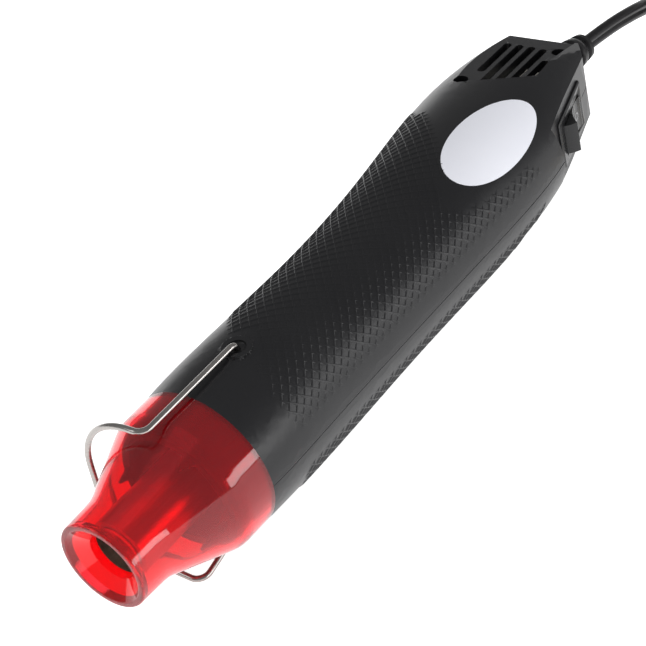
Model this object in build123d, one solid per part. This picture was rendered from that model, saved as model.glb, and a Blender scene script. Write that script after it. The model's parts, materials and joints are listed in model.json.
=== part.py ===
from build123d import *
import os
from math import atan2, cos, degrees, pi, radians, sin, sqrt, tan

# Embossing heat tool: a small hot air gun with a see-through nozzle guard and a folded wire bail.
# Pieces are drawn in tool axes, in millimetres: x runs from the nozzle mouth to the tail, y towards
# the left shell and z towards the switch. The tool rests on its right shell, so each piece is then
# turned until the left shell is up. The origin is the middle of the nozzle's mouth.

os.makedirs("parts", exist_ok=True)

# Whole tool
nozzle_length = 42.0      # from the mouth to the seam between the guard and the shells
body_length = 180.0       # from that seam to the end of the tail, before its rear face is cut
collar_radius = 21.5
half_width = 22.0
top_height = 21.5
belly_depth = 31.0
shell_wall = 2.2

# Clearances and the overrun of cuts
overrun = 1.0
slip_gap = 0.3
pin_gap = 0.05

# Housing sections behind the collar: place as a share of the body's length, half width as a share
# of half_width, widest line and top as shares of top_height, and how far the bottom swells from the
# round grip to the full belly
section_shares = (
    (0.1, 1.0, 0.0, 0.995, 0.063),
    (0.31, 0.955, 0.0, 0.944, 0.031),
    (0.53, 0.95, -0.045, 0.916, 0.357),
    (0.66, 0.955, -0.14, 0.893, 0.739),
    (0.77, 0.89, -0.256, 0.8, 1.0),
    (0.88, 0.782, -0.372, 0.558, 0.869),
    (1.0, 0.664, -0.442, 0.233, 0.315),
)

# Tail: distances from its end, heights as shares of the housing's top or belly
rear_low_back = 6.5
rear_high_back = 2.0
rear_low_share = -0.677
rear_high_share = -0.093
rear_brow_slope = 42.0
switch_flat_back = 41.0
switch_step_back = 40.0
switch_flat_share = 0.656
switch_flat_slope = 18.0
grille_flat_back = 41.3
grille_flat_side_share = 0.791
grille_flat_slope = 12.5
grille_front_back = 40.4
grille_shoulder_back = 37.0
grille_top_back = 27.0
grille_front_share = -0.613
grille_shoulder_share = -0.235
grille_top_share = 0.074
grille_end_share = -0.158

# Grille slots: front end, number of pitches above the lowest slot, rear end, along the slot zone
slot_width = 2.3
slot_pitch = 3.7
slot_slope = -10.5
slot_zone_back = 39.5
slot_zone_length = 34.0
slot_first_share = -0.452
slot_row_shares = (
    (0.26, 0.0, 0.83),
    (0.08, 1.0, 0.855),
    (0.11, 2.0, 0.875),
    (0.18, 3.0, 0.885),
    (0.28, 4.0, 0.715),
)
slot_inner_share = 0.3

# Neck on the shells' front, inside the guard's collar
spigot_reach = 10.5
spigot_wall = 1.8
spigot_chamfer = 1.0

# Nozzle guard
guard_wall = 1.8
outlet_radius = 6.9
rim_radius = 13.1
rim_wall = 1.6
rim_round = 0.7
dish_depth = 4.0
barrel_radius = 13.45
barrel_share = 0.274      # of the nozzle's length
guard_collar_length = 10.0
flare_bend = 16.0
shoulder_bend = 10.0

# Ring with pointed tabs on the neck's front edge
tab_ring_thickness = 2.0
tab_count = 6
tab_length = 4.5
tab_width = 4.2
tab_thickness = 1.0
tab_guard_gap = 0.32

# Heater
heater_radius = 8.6
heater_wall = 0.5
heater_tail = 4.0         # how far the tube passes the heater plate
heater_lip = 1.4
mouth_gap = 0.2
mica_front_gap = 7.4
mica_back = 2.0           # from the mica's rear end to the heater plate
mica_wall = 0.6
cross_thickness = 0.7
element_wire_radius = 0.4
element_turns = 9
element_end_gap = 6.0
element_sleeve_gap = 0.45
fuse_radius = 1.3
fuse_length = 9.0
plate_back = 24.0         # from the seam to the heater plate
plate_thickness = 2.0
plate_collar_length = 4.0
plate_collar_wall = 1.6
plate_gap = 0.7
plate_lap = 1.6
rib_thickness = 1.6

# Fan, duct and motor
duct_back = 36.0          # from the seam to the duct
duct_length = 24.0
duct_wall = 1.6
duct_wall_gap = 0.4
spoke_count = 4
spoke_width = 2.4
fan_inset = 3.0
fan_length = 12.0
fan_tip_gap = 0.4
fan_hub_radius = 5.0
blade_count = 7
blade_thickness = 1.0
blade_pitch_angle = 38.0
motor_inset = 4.0         # how deep the motor sits in the duct's cup
motor_radius = 12.2
motor_length = 31.0
can_wall = 0.8
bush_radius = 3.1
bush_length = 2.2
hub_ring_wall = 3.3
shaft_radius = 1.15
shaft_lead = 1.0          # how far the fan's hub covers the shaft's front end
armature_inset = 5.0
armature_length = 20.0
armature_radius = 8.4
armature_slots = 3
magnet_gap = 0.4
magnet_gap_angle = 60.0
end_cap_length = 4.0
motor_rib_share = 0.75
motor_rib_height_share = 0.6

# Rectifier board on the motor's tags
board_gap = 0.3
board_radius = 11.4
board_thickness = 1.6
motor_tag_width = 2.8
motor_tag_thickness = 0.6
motor_tag_length = 5.0
motor_tag_spread = 8.2
diode_radius = 1.35
diode_length = 5.2
diode_count = 4
diode_pitch = 3.1

# Rocker switch
switch_along = 16.6       # down the flat, from where the flat starts
bezel_length = 21.0
bezel_width = 15.0
bezel_height = 0.9
switch_box_length = 19.0
switch_box_width = 12.8
switch_box_depth = 11.5
panel_gap = 0.15
well_depth = 8.5
rocker_swing_radius = 7.5
rocker_half_width = 4.8
rocker_rise = 3.8
rocker_saddle = 1.2
rocker_root = 3.4
rocker_pivot_depth = 1.5
rocker_tilt = 12.0
rocker_pin_radius = 1.0
rocker_pin_length = 0.9
switch_tag_length = 6.5
switch_tag_width = 4.8
switch_tag_thickness = 0.8
switch_tag_pitch = 7.0

# Bail and its pivots
pivot_back = 19.5         # from the seam to the pivot
wire_radius = 0.9
boss_radius = 4.0
boss_height = 0.4
boss_depth = 4.2
dimple_radius = 2.6
dimple_depth = 0.8
bail_reach = 37.1
bail_drop = 23.3
hook_radius = 2.0
front_bend_radius = 3.2
right_leg_spread = 1.8
right_leg_rise = 6.0

# Case screws, driven from the left shell
screw_head_radius = 2.1
screw_head_height = 1.6
screw_slot_width = 0.8
screw_slot_depth = 0.8
screw_shank_radius = 1.3
screw_length = 11.0
screw_seat = 3.4
post_wall = 0.9
pilot_depth = 8.6
screw_low_back = 37.4
screw_low_share = -0.555
screw_high_back = 8.8
screw_cord_gap = 0.4

# Cord, strain relief and clamp
cord_diameter = 5.0
cord_exit_share = -0.31
relief_base_radius = 5.8
relief_end_radius = 3.9
relief_length = 14.0
relief_droop = 8.0
relief_neck_radius = 4.0
relief_flange_width = 11.0
relief_flange_height = 5.4
relief_flange_thickness = 1.6
relief_inner_length = 2.5
relief_inner_radius = 3.6
relief_groove_width = 1.8
relief_groove_depth = 0.8
relief_groove_shares = (0.42, 0.74)
clamp_length = 6.3
clamp_width = 12.0
clamp_thickness = 2.0
clamp_squeeze = 0.5
clamp_post_gap = 0.7
clamp_screw_radius = 1.0
clamp_screw_spread = 4.4
clamp_screw_length = 7.0
clamp_head_radius = 1.8
clamp_head_height = 1.3
cord_stub = 1.2           # how far the cord's inner end stands out of the clamp

# Coil of the cord on the table
coil_gap = 0.3
coil_inner_radius = 19.5
coil_turns_in = 4.0
coil_whole_turns = 7.0
coil_heading = 20.4       # of the cord where it meets the coil, in degrees from x
coil_centre = (321.0, -11.7)
coil_climb = 0.5
coil_steps_per_turn = 4

# Plug
plug_length = 24.0
plug_width = 23.0
plug_height = 12.0
plug_round = 2.4
boot_length = 14.0
boot_radius = 4.6
boot_tip_radius = 3.4
blade_length = 17.0
blade_width = 6.3
blade_gauge = 1.5
blade_spread = 12.7
blade_hole_radius = 1.6
blade_hole_back = 3.6
blade_root = 3.0

# Worked out from the sizes above
tail_x = nozzle_length + body_length
spigot_radius = collar_radius - guard_wall - slip_gap
spigot_bore = spigot_radius - spigot_wall
spigot_front = nozzle_length - spigot_reach
barrel_end = barrel_share * nozzle_length
shoulder_x = nozzle_length - guard_collar_length
cone_slope = (collar_radius - barrel_radius) / (shoulder_x - barrel_end)
pivot_x = nozzle_length + pivot_back
pivot_side = section_shares[0][1] * half_width
leg_y = pivot_side + boss_height + slip_gap + wire_radius
floor_y = -leg_y - right_leg_spread - wire_radius
cord_radius = cord_diameter / 2
cord_z = cord_exit_share * belly_depth
rear_low_x = tail_x - rear_low_back
rear_low_z = rear_low_share * belly_depth
rear_high_x = tail_x - rear_high_back
rear_high_z = rear_high_share * top_height
rear_lean = degrees(atan2(rear_high_x - rear_low_x, rear_high_z - rear_low_z))
rear_x = rear_low_x + (cord_z - rear_low_z) * tan(radians(rear_lean))
switch_flat_x = tail_x - switch_flat_back
switch_flat_z = switch_flat_share * top_height
grille_flat_x = tail_x - grille_flat_back
grille_flat_y = grille_flat_side_share * half_width
dish_shift = guard_wall * sqrt(1 + (dish_depth / (rim_radius - rim_wall - outlet_radius)) ** 2)
heater_front = dish_depth + dish_shift + mouth_gap
plate_x = nozzle_length + plate_back
heater_rear = plate_x + plate_thickness + heater_tail
mica_radius = heater_radius - heater_wall - pin_gap
mica_front = heater_front + mica_front_gap
mica_rear = plate_x - mica_back
element_pitch = (mica_rear - mica_front - 2 * element_end_gap) / element_turns
element_radius = mica_radius - mica_wall - element_sleeve_gap - element_wire_radius
cross_half = element_radius - element_wire_radius - 2 * pin_gap
plate_radius = top_height - shell_wall - plate_gap
duct_x = nozzle_length + duct_back
duct_rear = duct_x + duct_length
duct_radius = section_shares[1][3] * top_height - shell_wall - duct_wall_gap
fan_x = duct_x + fan_inset
fan_radius = duct_radius - duct_wall - fan_tip_gap
motor_x = duct_rear - motor_inset
motor_rear = motor_x + motor_length
cap_rear = motor_rear + end_cap_length
board_x = cap_rear + board_gap
post_radius = screw_head_radius + post_wall
screw_low = (tail_x - screw_low_back, screw_low_share * belly_depth)
screw_high = (tail_x - screw_high_back, cord_z + relief_neck_radius + screw_shank_radius + screw_cord_gap)
screw_places = (screw_low, screw_high)
clamp_x = screw_high[0] - post_radius - clamp_post_gap - clamp_length
clamp_plate_y = cord_radius - clamp_squeeze
table_z = floor_y + cord_radius
coil_pitch = cord_diameter + coil_gap
coil_turns = coil_whole_turns + (180 + coil_heading) / 360     # it leaves the coil back to the tool
far = tail_x              # longer than any piece, for half spaces


# Basic forms in tool axes
def along_x(radius, x0, x1, y=0, z=0):
    """A rod parallel to x between two places."""
    return Pos((x0 + x1) / 2, y, z) * Rot(0, 90, 0) * Cylinder(radius, x1 - x0)


def along_y(radius, y0, y1, x=0, z=0):
    """A rod parallel to y between two places."""
    return Pos(x, (y0 + y1) / 2, z) * Rot(90, 0, 0) * Cylinder(radius, y1 - y0)


def block(x0, x1, y0, y1, z0, z1):
    """A box between two corners."""
    return Pos((x0 + x1) / 2, (y0 + y1) / 2, (z0 + z1) / 2) * Box(x1 - x0, y1 - y0, z1 - z0)


def ring(inner, outer, x0, x1):
    """A plain ring on the tool's axis."""
    return along_x(outer, x0, x1) - along_x(inner, x0 - overrun, x1 + overrun)


def turned(points):
    """A body of revolution about the tool's axis, from (x, radius) points."""
    return revolve(make_face(Polyline(*points, close=True)), Axis.X)


def around(piece, count, first=0):
    """Copies of a piece, evenly spaced about the tool's axis."""
    return [Rot(first + 360 * step / count, 0, 0) * piece for step in range(count)]


# Wires and tubes
def round_tube(path, radius):
    """A round tube along a path."""
    start = Plane(origin=path @ 0, z_dir=path % 0)
    return sweep(start * Circle(radius), path=path)


def bend_radii(points):
    """The largest arc for each corner: 0.45 of the shorter run over the tangent of half the turn."""
    radii = []
    for before, here, after in zip(points, points[1:], points[2:]):
        run_in = Vector(*here) - Vector(*before)
        run_out = Vector(*after) - Vector(*here)
        half_turn = radians(run_in.get_angle(run_out)) / 2
        radii.append(0.45 * min(run_in.length, run_out.length) / tan(half_turn))
    return radii


def routed_tube(points, radius, name):
    """A tube on straight runs joined by tangent arcs. Prints its radii and its volume's ratio."""
    radii = bend_radii(points)
    path = FilletPolyline(*points, radius=radii)
    tube = round_tube(path, radius)
    ratio = tube.volume / (pi * radius**2 * path.length)
    print(name, "bend radii", [round(bend) for bend in radii])
    print(name, "length", round(path.length, 1), "volume over section times length", round(ratio, 4))
    return tube


def biarc(p0, t0, p1, t1):
    """Two tangent arcs between two points with given directions."""
    span = p1 - p0
    both = t0 + t1
    spread = 2 * (1 - t0.dot(t1))
    lean = span.dot(both)
    reach = (sqrt(lean**2 + spread * span.dot(span)) - lean) / spread
    handle_0 = p0 + t0 * reach
    handle_1 = p1 - t1 * reach
    joint = (handle_0 + handle_1) * 0.5
    first = TangentArc(p0, joint, tangent=t0)
    second = TangentArc(joint, p1, tangent=handle_1 - handle_0)
    return [first, second]


def wound_edges(place, last, steps, end_ways=None):
    """A chain of biarcs along a curve that a formula gives, with the directions of its ends."""
    small = last / steps / 1000
    turns = [last * step / steps for step in range(steps + 1)]
    points = [Vector(*place(turn)) for turn in turns]
    ways = [(Vector(*place(turn + small)) - Vector(*place(turn - small))).normalized() for turn in turns]
    if end_ways:
        ways[0], ways[-1] = end_ways
    edges = []
    for step in range(steps):
        edges += biarc(points[step], ways[step], points[step + 1], ways[step + 1])
    return edges


# Housing
def body_section(shares, inset):
    """Half of the housing's cross section on the left of the parting plane."""
    along, wide, middle, top, swell = shares
    side = wide * half_width - inset
    mid_z = middle * top_height
    low_z = -top_height - swell * (belly_depth - top_height)
    return half_section(nozzle_length + along * body_length, side, mid_z,
                        top * top_height - inset, low_z + inset)


def half_section(x, side, mid_z, top_z, low_z):
    """A quarter ellipse above the widest line and one below it, closed on the parting plane."""
    under = EllipticalCenterArc((0, mid_z), side, mid_z - low_z, start_angle=270, arc_size=90)
    over = EllipticalCenterArc((0, mid_z), side, top_z - mid_z, start_angle=0, arc_size=90)
    edge = Line((0, top_z), (0, low_z))
    plane = Plane(origin=(x, 0, 0), x_dir=(0, 1, 0), z_dir=(1, 0, 0))
    return plane * make_face([under, over, edge])


def above_plane(x, z, slope, depth):
    """The half space above a plane that falls towards the tail, sunk by a depth."""
    return Pos(x, 0, z) * Rot(0, slope, 0) * Pos(0, 0, far / 2 - depth) * Box(2 * far, 2 * far, far)


def behind_rear(depth):
    """The half space behind the leaning rear face."""
    return above_plane(rear_low_x, rear_low_z, 90 + rear_lean, depth)


def outside_grille(depth):
    """The half space to the left of the grille flat."""
    blank = Pos(0, far / 2 - depth, 0) * Box(2 * far, far, 2 * far)
    return Pos(grille_flat_x, grille_flat_y, 0) * Rot(0, 0, -grille_flat_slope) * blank


def grille_window():
    """The region, seen from the side, where the housing is cut back to the grille flat."""
    front = (tail_x - grille_front_back, grille_front_share * belly_depth)
    shoulder = (tail_x - grille_shoulder_back, grille_shoulder_share * belly_depth)
    top = (tail_x - grille_top_back, grille_top_share * top_height)
    end_x = tail_x + overrun
    end_z = grille_end_share * top_height
    low_z = -belly_depth - overrun
    curve = ThreePointArc(front, shoulder, top)
    rest = Polyline(top, (end_x, end_z), (end_x, low_z), (front[0], low_z), front)
    face = Plane.XZ * make_face([curve, *rest.edges()])
    return extrude(face, amount=-half_width - overrun)


def body_half(inset):
    """The housing's outer form on the left of the parting plane, or its cavity when inset."""
    round_front = collar_radius - inset
    sections = [half_section(nozzle_length, round_front, 0, round_front, -round_front)]
    sections += [body_section(shares, inset) for shares in section_shares]
    half = loft(sections)
    half -= behind_rear(inset)
    half -= above_plane(rear_high_x, rear_high_z, rear_brow_slope, inset)
    flat = above_plane(switch_flat_x, switch_flat_z, switch_flat_slope, inset)
    if inset:
        return half - flat - outside_grille(inset)
    step_x = tail_x - switch_step_back
    half -= flat & block(step_x, far + tail_x, -far, far, -far, far)
    return half - (outside_grille(0) & grille_window())


def spigot_half():
    """The thin round neck in front of each shell, with a chamfered mouth."""
    rear = nozzle_length + shell_wall
    lip = spigot_radius - spigot_chamfer
    neck = turned((
        (spigot_front, spigot_bore), (spigot_front, lip), (spigot_front + 2 * spigot_chamfer, spigot_radius),
        (nozzle_length, spigot_radius), (nozzle_length, collar_radius - shell_wall / 2),
        (rear, collar_radius - shell_wall / 2), (rear, spigot_bore),
    ))
    return neck & block(0, tail_x, 0, half_width, -belly_depth, belly_depth)


def pivot_boss():
    """The raised ring round the bail's pivot, backed by a block inside the wall."""
    inner = pivot_side - shell_wall - boss_depth
    return along_y(boss_radius, inner, pivot_side + boss_height, pivot_x)


def pivot_cuts():
    """The pivot's hole and the dimple round it."""
    face = pivot_side + boss_height
    inner = pivot_side - shell_wall - boss_depth - overrun
    hole = along_y(wire_radius + pin_gap, inner, face + overrun, pivot_x)
    return hole + along_y(dimple_radius, face - dimple_depth, face + overrun, pivot_x)


def ring_rib(x, seat_radius):
    """A flat rib across one shell with a round seat."""
    slab = block(x, x + rib_thickness, 0, half_width, -belly_depth, belly_depth)
    return slab - along_x(seat_radius, x - overrun, x + rib_thickness + overrun)


def motor_rib():
    """A rib that steadies the motor from the side and lets the air pass above and below."""
    x = motor_x + motor_rib_share * motor_length
    high = motor_rib_height_share * motor_radius
    slab = block(x, x + rib_thickness, 0, half_width, -high, high)
    return slab - along_x(motor_radius + pin_gap, x - overrun, x + rib_thickness + overrun)


def inner_ribs():
    """The ribs that seat the heater plate, the fan duct and the motor."""
    return [
        ring_rib(plate_x - pin_gap - rib_thickness, plate_radius - plate_lap),
        ring_rib(plate_x + plate_thickness + pin_gap, plate_radius - plate_lap),
        ring_rib(duct_x + duct_length / 2, duct_radius + pin_gap),
        motor_rib(),
    ]


def grille_slot(front_share, step, rear_share):
    """The cutter for one grille slot, with round ends."""
    zone_x = tail_x - slot_zone_back
    fall = tan(radians(slot_slope))
    x0 = zone_x + front_share * slot_zone_length
    x1 = zone_x + rear_share * slot_zone_length
    middle_x = (x0 + x1) / 2
    middle_z = slot_first_share * belly_depth + step * slot_pitch + (middle_x - zone_x) * fall
    outline = SlotOverall((x1 - x0) / cos(radians(slot_slope)), slot_width, rotation=slot_slope)
    cutter = extrude(Plane.XZ * outline, amount=-half_width)
    return Pos(middle_x, slot_inner_share * half_width, middle_z) * cutter


def switch_place():
    """The switch's own frame: x down the flat towards the tail, z out of it."""
    run = radians(switch_flat_slope)
    x = switch_flat_x + switch_along * cos(run)
    return Pos(x, 0, switch_flat_z - switch_along * sin(run)) * Rot(0, switch_flat_slope, 0)


def switch_cutout():
    """The opening that the switch snaps into."""
    long = switch_box_length + 2 * panel_gap
    wide = switch_box_width + 2 * panel_gap
    return switch_place() * Box(long, wide, 4 * shell_wall)


def relief_pocket():
    """Room for the strain relief's neck and inner flange, and for the cord."""
    front_x = relief_flange_x() - relief_inner_length - pin_gap
    neck = along_x(relief_neck_radius + pin_gap, front_x, tail_x, 0, cord_z)
    half_wide = relief_flange_width / 2 + pin_gap
    half_high = relief_flange_height / 2 + pin_gap
    x0 = relief_flange_x() - pin_gap
    pocket = block(x0, x0 + relief_flange_thickness + 2 * pin_gap, -half_wide, half_wide,
                   cord_z - half_high, cord_z + half_high)
    return neck + pocket


def shell_blank(outer, cavity):
    """What both shells share, drawn as the left one."""
    shell = outer - cavity + spigot_half()
    for rib in inner_ribs():
        shell += rib & cavity
    shell += pivot_boss()
    shell -= pivot_cuts()
    for shares in slot_row_shares:
        shell -= grille_slot(*shares)
    return shell - switch_cutout()


def left_shell(blank, outer):
    """The upper shell, with the posts and recesses that the screw heads sit in."""
    shell = blank
    for x, z in screw_places:
        shell += along_y(post_radius, 0, half_width, x, z) & outer
    for x, z in screw_places:
        shell -= along_y(screw_shank_radius + pin_gap, -overrun, half_width, x, z)
        shell -= along_y(screw_head_radius + pin_gap, screw_seat, half_width + overrun, x, z)
    return shell - relief_pocket()


def right_shell(blank, outer):
    """The lower shell, with blind pilot posts and the cord's saddle."""
    shell = blank
    for x, z in screw_places:
        shell += along_y(post_radius, 0, half_width, x, z) & outer
        shell -= along_y(screw_shank_radius + pin_gap, -overrun, pilot_depth, x, z)
    shell -= relief_pocket()
    saddle = cord_saddle()
    keep = mirror(outer, about=Plane.XZ) + block(clamp_x, clamp_x + clamp_length, 0, cord_radius,
                                                 cord_z - clamp_width, cord_z + clamp_width)
    return mirror(shell, about=Plane.XZ) + (saddle & keep)


def case_screws():
    """Two screws with round slotted heads."""
    screws = []
    for x, z in screw_places:
        top = screw_seat + screw_head_height
        head = along_y(screw_head_radius, screw_seat, top, x, z)
        half_slot = screw_slot_width / 2
        slot = block(x - post_radius, x + post_radius, top - screw_slot_depth, top + overrun,
                     z - half_slot, z + half_slot)
        shank = along_y(screw_shank_radius, screw_seat - screw_length, screw_seat, x, z)
        screws.append(head - slot + shank)
    return screws


# Nozzle
def guard_line(front_x, inset):
    """The guard's side line from a place near the mouth to the seam."""
    points = (
        (front_x, rim_radius - inset), (barrel_end, barrel_radius - inset),
        (shoulder_x, collar_radius - inset), (nozzle_length, collar_radius - inset),
    )
    return FilletPolyline(*points, radius=(flare_bend, shoulder_bend))


def nozzle_guard():
    """The see-through guard: collar, flare, barrel, rolled rim, and the dish with the outlet."""
    lip_radius = rim_radius - rim_wall
    slant = dish_depth / (lip_radius - outlet_radius)
    inner_x = dish_shift + slant * (lip_radius - rim_radius + guard_wall)
    outer = guard_line(0, 0)
    inner = guard_line(inner_x, guard_wall)
    seam = Line((nozzle_length, collar_radius), (nozzle_length, collar_radius - guard_wall))
    dish = Polyline(
        (inner_x, rim_radius - guard_wall), (dish_depth + dish_shift, outlet_radius),
        (dish_depth, outlet_radius), (0, lip_radius), (0, rim_radius),
    )
    guard = revolve(make_face([*outer.edges(), seam, *inner.edges(), *dish.edges()]), Axis.X)
    mouth = guard.edges().filter_by(GeomType.CIRCLE).group_by(Axis.X)[0]
    return fillet(mouth, rim_round)


def room_in_cone(x):
    """The radius that a piece may have inside the guard's cone."""
    return barrel_radius + cone_slope * (x - barrel_end) - guard_wall - tab_guard_gap


def tab_ring():
    """The ring on the neck's front edge, with tabs that point towards the mouth."""
    x0 = spigot_front - tab_ring_thickness
    outer = room_in_cone(x0)
    inner = room_in_cone(x0 - tab_length) - tab_thickness
    outline = Polyline((x0, tab_width / 2), (x0, -tab_width / 2), (x0 - tab_length, 0), close=True)
    tab = Pos(0, 0, inner) * extrude(make_face(outline), amount=tab_thickness)
    body = ring(inner, outer, x0, spigot_front)
    root = block(x0 - pin_gap, x0 + pin_gap, -tab_width / 4, tab_width / 4, inner, inner + tab_thickness)
    for piece in around(tab + root, tab_count):
        body += piece
    return body


# Heater
def heater_tube():
    """The steel hot air tube with its turned-in mouth."""
    mouth = ring(heater_radius - heater_lip, heater_radius, heater_front, heater_front + heater_wall)
    return mouth + ring(heater_radius - heater_wall, heater_radius, heater_front, heater_rear)


def mica_sleeve():
    """The insulating sleeve in the hot air tube."""
    return ring(mica_radius - mica_wall, mica_radius, mica_front, mica_rear)


def mica_cross():
    """Two crossed mica sheets that carry the element."""
    half = cross_thickness / 2
    upright = block(mica_front, mica_rear, -half, half, -cross_half, cross_half)
    return upright + block(mica_front, mica_rear, -cross_half, cross_half, -half, half)


def element_place(turn):
    """Where the heating element is after a number of turns."""
    angle = 2 * pi * turn
    x = mica_front + element_end_gap + element_pitch * turn
    return (x, element_radius * cos(angle), element_radius * sin(angle))


def heating_element():
    """The resistance wire wound round the mica cross."""
    path = Wire(wound_edges(element_place, element_turns, 2 * element_turns))
    return round_tube(path, element_wire_radius)


def thermal_fuse():
    """The thermal cut-out in one quarter of the mica cross."""
    offset = cross_thickness / 2 + fuse_radius + pin_gap
    x1 = mica_rear - element_pitch
    return along_x(fuse_radius, x1 - fuse_length, x1, offset, offset)


def heater_plate():
    """The round plate, held by ribs of both shells, that carries the hot air tube."""
    bore = heater_radius + pin_gap
    x1 = plate_x + plate_thickness
    return ring(bore, plate_radius, plate_x, x1) + ring(bore, bore + plate_collar_wall,
                                                        plate_x - plate_collar_length, x1)


# Fan and motor
def fan_duct():
    """The ring that the fan turns in, with spokes and a cup for the motor's front end."""
    front = motor_x - duct_wall
    hub_outer = bush_radius + pin_gap + hub_ring_wall
    cup_outer = motor_radius + pin_gap + duct_wall
    duct = ring(duct_radius - duct_wall, duct_radius, duct_x, duct_rear)
    duct += ring(bush_radius + pin_gap, hub_outer, front, motor_x)
    duct += ring(motor_radius - duct_wall, cup_outer, front, motor_x)
    duct += ring(motor_radius + pin_gap, cup_outer, motor_x, duct_rear)
    half = spoke_width / 2
    spoke = block(front, motor_x, -half, half, hub_outer - duct_wall, duct_radius - duct_wall / 2)
    for piece in around(spoke, spoke_count, 45):
        duct += piece
    return duct


def fan():
    """The axial fan: a domed hub and pitched blades, pressed on the shaft."""
    hub = along_x(fan_hub_radius, fan_x, fan_x + fan_length)
    hub = fillet(hub.edges().group_by(Axis.X)[0], fan_hub_radius / 2)
    middle = (fan_hub_radius + fan_radius) / 2
    chord = fan_length / cos(radians(blade_pitch_angle))
    blank = Box(chord, blade_thickness, fan_radius)
    blade = Pos(fan_x + fan_length / 2, 0, middle) * Rot(0, 0, blade_pitch_angle) * blank
    blade &= ring(fan_hub_radius - blade_thickness, fan_radius, fan_x + blade_thickness, fan_x + fan_length)
    for piece in around(blade, blade_count):
        hub += piece
    return hub - along_x(shaft_radius, fan_x + shaft_lead, fan_x + fan_length + overrun)


def motor_shaft():
    """The shaft through armature and fan."""
    return along_x(shaft_radius, fan_x + shaft_lead, motor_rear + end_cap_length / 2 - pin_gap)


def motor_can():
    """The steel can with its front bush."""
    can = along_x(motor_radius, motor_x, motor_rear) + along_x(bush_radius, motor_x - bush_length, motor_x)
    can -= along_x(motor_radius - can_wall, motor_x + can_wall, motor_rear + overrun)
    return can - along_x(shaft_radius + pin_gap, motor_x - bush_length - overrun, motor_rear)


def armature():
    """The slotted core on the shaft."""
    x0 = motor_x + armature_inset
    x1 = x0 + armature_length
    core = ring(shaft_radius, armature_radius, x0, x1)
    half = spoke_width / 2
    slot = block(x0 - overrun, x1 + overrun, -half, half, armature_radius / 2, armature_radius + overrun)
    for piece in around(slot, armature_slots):
        core -= piece
    return core


def motor_magnets():
    """Two curved magnets against the can."""
    x0 = motor_x + armature_inset
    x1 = x0 + armature_length
    tube = ring(armature_radius + magnet_gap, motor_radius - can_wall, x0, x1)
    rise = motor_radius * tan(radians(90 - magnet_gap_angle))
    high = motor_radius * 2
    fan_out = Polyline((0, 0), (motor_radius, rise), (motor_radius, high), (-motor_radius, high),
                       (-motor_radius, rise), close=True)
    sector = Pos(x0 - overrun, 0, 0) * extrude(Plane.YZ * make_face(fan_out), amount=x1 - x0 + 2 * overrun)
    upper = tube & sector
    return [upper, mirror(upper, about=Plane.XY)]


def motor_end_cap():
    """The plastic cap that closes the can."""
    cap = along_x(motor_radius, motor_rear, cap_rear)
    cap += along_x(motor_radius - can_wall - pin_gap, motor_rear - can_wall, motor_rear)
    return cap - along_x(shaft_radius + pin_gap, motor_rear - can_wall - overrun, motor_rear + end_cap_length / 2)


def tag_boxes(gap, x0, x1):
    """Boxes round the two motor tags, larger by a gap."""
    wide = motor_tag_width / 2 + gap
    thick = motor_tag_thickness / 2 + gap
    return [block(x0, x1, -wide, wide, z - thick, z + thick) for z in (-motor_tag_spread, motor_tag_spread)]


def motor_tags():
    """The two brass tags on the end cap, which carry the board."""
    return tag_boxes(0, cap_rear, cap_rear + motor_tag_length)


def rectifier_board():
    """The round board on the motor's tags."""
    board = along_x(board_radius, board_x, board_x + board_thickness)
    for slot in tag_boxes(pin_gap, board_x - overrun, board_x + board_thickness + overrun):
        board -= slot
    return board


def diodes():
    """The row of rectifier diodes on the board."""
    x = board_x + board_thickness + diode_radius
    first = -(diode_count - 1) / 2
    return [Pos(x, (first + step) * diode_pitch, 0) * Cylinder(diode_radius, diode_length)
            for step in range(diode_count)]


# Switch
def switch_body():
    """The snap-in switch housing with its bezel and the well that the rocker moves in."""
    bezel = Pos(0, 0, bezel_height / 2) * Box(bezel_length, bezel_width, bezel_height)
    bezel = chamfer(bezel.edges().group_by(Axis.Z)[-1], bezel_height / 2)
    box = Pos(0, 0, -switch_box_depth / 2) * Box(switch_box_length, switch_box_width, switch_box_depth)
    long = 2 * (rocker_swing_radius + slip_gap)
    wide = 2 * (rocker_half_width + slip_gap)
    deep = well_depth + bezel_height + overrun
    well = Pos(0, 0, deep / 2 - well_depth) * Box(long, wide, deep)
    pin_reach = rocker_half_width + rocker_pin_length + 2 * pin_gap
    pivot = along_y(rocker_pin_radius + pin_gap, -pin_reach, pin_reach, 0, -rocker_pivot_depth)
    return switch_place() * (bezel + box - well - pivot)


def rocker():
    """The rocker with its hollow top, its rear end pressed down."""
    top = ThreePointArc((-rocker_swing_radius, rocker_rise), (0, rocker_saddle), (rocker_swing_radius, rocker_rise))
    sides = Polyline((rocker_swing_radius, rocker_rise), (rocker_swing_radius, -rocker_root),
                     (-rocker_swing_radius, -rocker_root), (-rocker_swing_radius, rocker_rise))
    paddle = extrude(Plane.XZ * make_face([top, *sides.edges()]), amount=rocker_half_width, both=True)
    paddle &= along_y(rocker_swing_radius, -half_width, half_width, 0, -rocker_pivot_depth)
    reach = rocker_half_width + rocker_pin_length
    paddle += along_y(rocker_pin_radius, -reach, reach, 0, -rocker_pivot_depth)
    tipped = Pos(0, 0, -rocker_pivot_depth) * Rot(0, rocker_tilt, 0) * Pos(0, 0, rocker_pivot_depth)
    return switch_place() * tipped * paddle


def switch_tags():
    """The two tags under the switch."""
    tags = []
    for x in (-switch_tag_pitch / 2, switch_tag_pitch / 2):
        thick = switch_tag_thickness / 2
        wide = switch_tag_width / 2
        low = -switch_box_depth - switch_tag_length
        tags.append(switch_place() * block(x - thick, x + thick, -wide, wide, low, -switch_box_depth))
    return tags


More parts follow.
